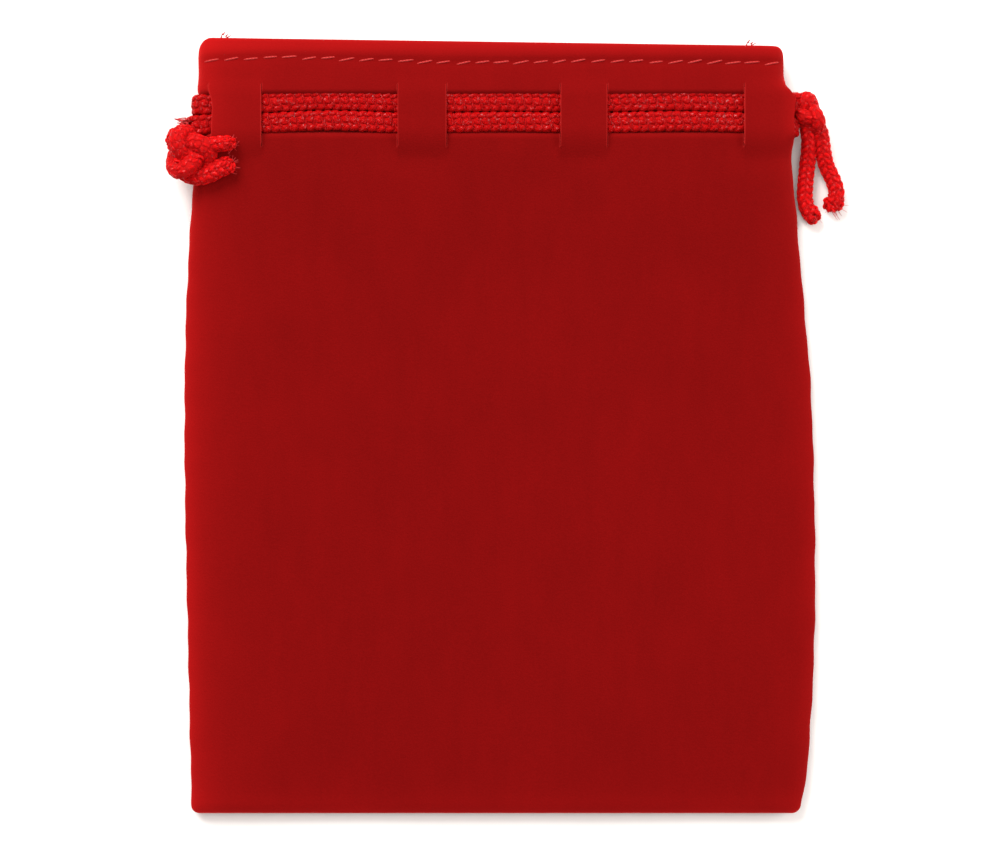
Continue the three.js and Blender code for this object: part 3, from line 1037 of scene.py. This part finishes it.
STITCH_PITCH = 3.17
STITCH_LENGTH = 2.75
STITCH_LEAN = math.radians(9)
STITCH_STOPS = 13
STITCH_ROW_ENDS = (-48.9, 46.4)
THREAD_SIDES = 8
SEAM_THREAD_RADIUS = 0.175
FLUFF_X = {-1: -45.8, 1: 40.7}


def hem_stitches(name, side, front, material):
    shape = Shape()
    first = STITCH_ROW_ENDS[0] + STITCH_LENGTH / 2
    count = int((STITCH_ROW_ENDS[1] - first) / STITCH_PITCH) + 1
    chance = random.Random(21 if front else 22)
    surface = front_surface if front else back_surface
    sign = 1 if front else -1
    for n in range(count):
        x = first + n * STITCH_PITCH + chance.uniform(-0.12, 0.12)
        lean = STITCH_LEAN + chance.uniform(-0.08, 0.08)
        y = float(stitch_y(x)) + chance.uniform(-0.10, 0.10)
        if (x < 0) != (side < 0):
            continue
        t = np.linspace(-1, 1, STITCH_STOPS)
        half = STITCH_LENGTH / 2 * chance.uniform(0.86, 1.06)
        line = np.zeros((STITCH_STOPS, 3))
        line[:, 0] = x + t * half * math.cos(lean)
        line[:, 1] = y + t * half * math.sin(lean)
        rise = 0.12 - 0.24 * np.abs(t) ** 6
        level = np.array([float(surface(px, py, False)) for px, py in line[:, :2]])
        from_left = line[:, 0] - left_edge(line[:, 1])
        from_right = right_edge(line[:, 1]) - line[:, 0]
        inset = np.minimum(from_left, from_right)
        level = seam_level(y) + (level - seam_level(y)) * rounding(np.maximum(inset, 0))
        line[:, 2] = level + sign * rise
        normal = np.tile([0.0, 0.0, float(sign)], (STITCH_STOPS, 1))
        taper = 1 - 0.45 * np.abs(t) ** 3
        shape.add_tube(line, normal, 0.11 * taper, 0.15 * taper, THREAD_SIDES)
    if front:
        # A little loose fluff where the thread starts and ends.
        x = FLUFF_X[side]
        frayed_end(shape, (x, mouth_y(x) - 0.1, 4.6), (0.6, 1, 0), 4, 1.1, 0.3, 9, 0.13, YARN)
    return shape.piece(name, [material])


def seam_thread(name, line, material):
    shape = Shape()
    line = np.asarray(line, float)
    normal = np.tile([0.0, 0.0, 1.0], (len(line), 1))
    shape.add_tube(line, normal, SEAM_THREAD_RADIUS, SEAM_THREAD_RADIUS, THREAD_SIDES)
    return shape.piece(name, [material])


# ---- Floor and light ----

FLOOR_SIZE = 4.0
ROOM_COLOUR = (1, 0.99, 0.98, 1)
ROOM_STRENGTH = 0.58


def add_floor():
    bpy.ops.mesh.primitive_plane_add(size=FLOOR_SIZE, location=(0, 0, -0.1 * MM))
    floor = bpy.context.object
    floor.name = "floor"
    material, nodes, links, shader = new_material("pale_floor", 0.9, Specular_IOR_Level=0.1)
    shader.inputs["Base Color"].default_value = FLOOR_COLOUR
    floor.data.materials.append(material)


def add_area_light(name, place, target, size, power):
    light = bpy.data.lights.new(name, "AREA")
    light.shape = "DISK"
    light.size = size
    light.energy = power
    holder = bpy.data.objects.new(name, light)
    bpy.context.scene.collection.objects.link(holder)
    holder.location = place
    aim = Vector(target) - Vector(place)
    holder.rotation_euler = aim.to_track_quat("-Z", "Y").to_euler()


def add_light():
    world = bpy.data.worlds.new("studio")
    world.use_nodes = True
    room = world.node_tree.nodes["Background"]
    room.inputs["Color"].default_value = ROOM_COLOUR
    room.inputs["Strength"].default_value = ROOM_STRENGTH
    bpy.context.scene.world = world
    add_area_light("window", (-0.36, 0.66, 0.60), (0, 0.02, 0), 0.6, 13.0)
    add_area_light("fill", (0.1, 0.1, 0.9), (0, 0, 0), 0.6, 2.6)
    add_area_light("side", (0.7, 0.15, 0.35), (0.03, 0.02, 0), 0.4, 4.0)
    bpy.context.scene.view_settings.view_transform = "Standard"
    bpy.context.scene.view_settings.look = "None"


# ---- Assembly ----

add_camera()
core, fibres = core_material(), fibre_material()
laid_cord = [yarn_material("cord_yarn", 1.0), core, fibres]
# A lit copy of the cord yarn, painted 1.6 times lighter, for the tails and knots.
painted_lit_cord = [yarn_material("painted_lit_cord_yarn", 1.6), core, fibres]
cords = cord_pieces(laid_cord, painted_lit_cord)
knots = knot_pieces(painted_lit_cord)
velour = velour_material()
thread = thread_material()

BAG = "bag"
LEFT_CORD = "left_cord"
RIGHT_CORD = "right_cord"


def gathers_with(piece):
    """Bakes the piece's placement into its mesh."""
    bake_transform(piece)


for side, side_name in ((-1, "left"), (1, "right")):
    for front, face in ((True, "front"), (False, "back")):
        half = half_panel(f"{face}_panel_{side_name}_half", side, front, velour)
        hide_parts(f"{face}_panel")
        gathers_with(half)
        stitches = hem_stitches(f"{face}_hem_stitches_{side_name}", side, front, thread)
        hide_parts(f"{face}_hem_stitching")
        gathers_with(stitches)
    edge = left_edge if side < 0 else right_edge
    seam_y = np.linspace(-61, 44, 60)
    seam_line = [(float(edge(y)) - side * SEAM_INSET, y, SEAM_Z) for y in seam_y]
    seam = seam_thread(f"{side_name}_seam_thread", seam_line, thread)
    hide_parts(f"{side_name}_seam_stitching")
    gathers_with(seam)

bottom_line = [(x, BOTTOM_Y + SEAM_INSET, SEAM_Z) for x in np.linspace(-47.5, 45.5, 40)]
bottom = seam_thread("bottom_seam_thread", bottom_line, thread)
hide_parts("bottom_seam_stitching")
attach(bottom, BAG)

left_loop, left_line = cords["left_cord_loop"]
right_loop, right_line = cords["right_cord_loop"]
for piece, node, body in (
    (left_loop, "left_drawstring", LEFT_CORD),
    (knots["left_tied_knot"], "left_knot", LEFT_CORD),
    (cords["left_upper_end"][0], "left_upper_tail", LEFT_CORD),
    (cords["left_lower_end"][0], "left_lower_tail", LEFT_CORD),
    (right_loop, "right_drawstring", RIGHT_CORD),
    (knots["right_tied_knot"], "right_knot", RIGHT_CORD),
):
    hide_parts(node)
    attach(piece, body)

for name, node, body, line in (
    ("right_inner_end", "right_inner_tail", "right_inner_end", cords["right_inner_end"][1]),
    ("right_outer_end", "right_outer_tail", "right_outer_end", cords["right_outer_end"][1]),
):
    piece = cords[name][0]
    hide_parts(node)
    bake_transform(piece)

add_floor()
add_light()
